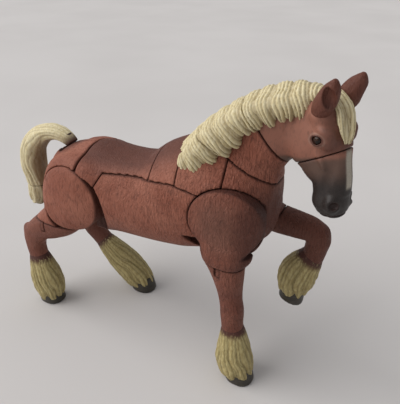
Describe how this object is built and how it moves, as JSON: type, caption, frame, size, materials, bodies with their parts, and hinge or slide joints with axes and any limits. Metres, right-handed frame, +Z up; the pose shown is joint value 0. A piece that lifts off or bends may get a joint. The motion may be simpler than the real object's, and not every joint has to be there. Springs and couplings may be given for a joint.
{
  "type": "horse figure",
  "caption": "Take-apart draft horse figure with one foreleg raised, of shut-fit moulded pieces around a core, with turning neck, head and tail and swinging leg discs",
  "frame": {"origin": "on the ground under the middle of the bounding box", "axes": "+X the way the horse faces, +Y its left side, +Z up"},
  "size_m": [0.1308, 0.0359, 0.1089],
  "materials": {
    "coat": "satin chestnut paint over moulded coat hair, darker in the grooves",
    "flaxen": "matte cream paint over deep moulded strands, brown wash between them",
    "feather": "matte tan paint over moulded feather tufts, olive in the grooves",
    "horn": "matte black paint",
    "eye": "gloss dark brown",
    "smoke": "dark grey fading up into the coat colour, pale stripe down the front",
    "inner": "bare red-brown plastic, hidden inside"
  },
  "bodies": {
    "torso": {"barrel_right": "coat", "barrel_left": "coat", "saddle_back": "coat", "loin": "coat", "withers": "coat", "breast": "coat", "croup_right": "coat", "croup_left": "coat", "core": "inner", "shoulder_pin_right": "inner", "shoulder_pin_left": "inner", "hip_pin_right": "inner", "hip_pin_left": "inner", "neck_peg": "inner", "tail_peg": "inner", "mane_withers": "flaxen"},
    "neck": {"neck": "coat", "mane_neck": "flaxen", "head_peg": "inner"},
    "head": {"head": "coat", "muzzle": "smoke", "ear_right": "coat", "ear_left": "coat", "forelock": "flaxen", "mane_poll": "flaxen", "eye_right": "eye", "eye_left": "eye"},
    "foreleg_right": {"shoulder_right": "coat", "foreleg_right": "coat", "feather_fore_right": "feather", "hoof_fore_right": "horn"},
    "foreleg_left": {"shoulder_left": "coat", "foreleg_left": "coat", "feather_fore_left": "feather", "hoof_fore_left": "horn"},
    "hindleg_right": {"thigh_right": "coat", "hindleg_right": "coat", "feather_hind_right": "feather", "hoof_hind_right": "horn"},
    "hindleg_left": {"thigh_left": "coat", "hindleg_left": "coat", "feather_hind_left": "feather", "hoof_hind_left": "horn"},
    "tail": {"tail_upper": "flaxen", "tail_tuft": "flaxen"}
  },
  "joints": [
    {"name": "neck_swivel", "type": "hinge", "parent": "torso", "child": "neck", "pos_m": [0.0326, -0.0007, 0.0817], "axis": [0.4939, 0, 0.8695], "range_deg": [-12, 12]},
    {"name": "head_swivel", "type": "hinge", "parent": "neck", "child": "head", "pos_m": [0.0396, -0.0007, 0.0905], "axis": [0.7902, 0, 0.6129], "range_deg": [-12, 12]},
    {"name": "shoulder_right_swing", "type": "hinge", "parent": "torso", "child": "foreleg_right", "pos_m": [0.0324, -0.0097, 0.0636], "axis": [0, -1, 0], "range_deg": [-10, 10]},
    {"name": "shoulder_left_swing", "type": "hinge", "parent": "torso", "child": "foreleg_left", "pos_m": [0.0324, 0.0083, 0.0636], "axis": [0, -1, 0], "range_deg": [-10, 10]},
    {"name": "hip_right_swing", "type": "hinge", "parent": "torso", "child": "hindleg_right", "pos_m": [-0.0278, -0.0097, 0.0566], "axis": [0, -1, 0], "range_deg": [0, 10]},
    {"name": "hip_left_swing", "type": "hinge", "parent": "torso", "child": "hindleg_left", "pos_m": [-0.0278, 0.0083, 0.0566], "axis": [0, -1, 0], "range_deg": [0, 10]},
    {"name": "tail_swivel", "type": "hinge", "parent": "torso", "child": "tail", "pos_m": [-0.036, -0.0007, 0.071], "axis": [-0.6428, 0, 0.766], "range_deg": [-12, 12]}
  ]
}
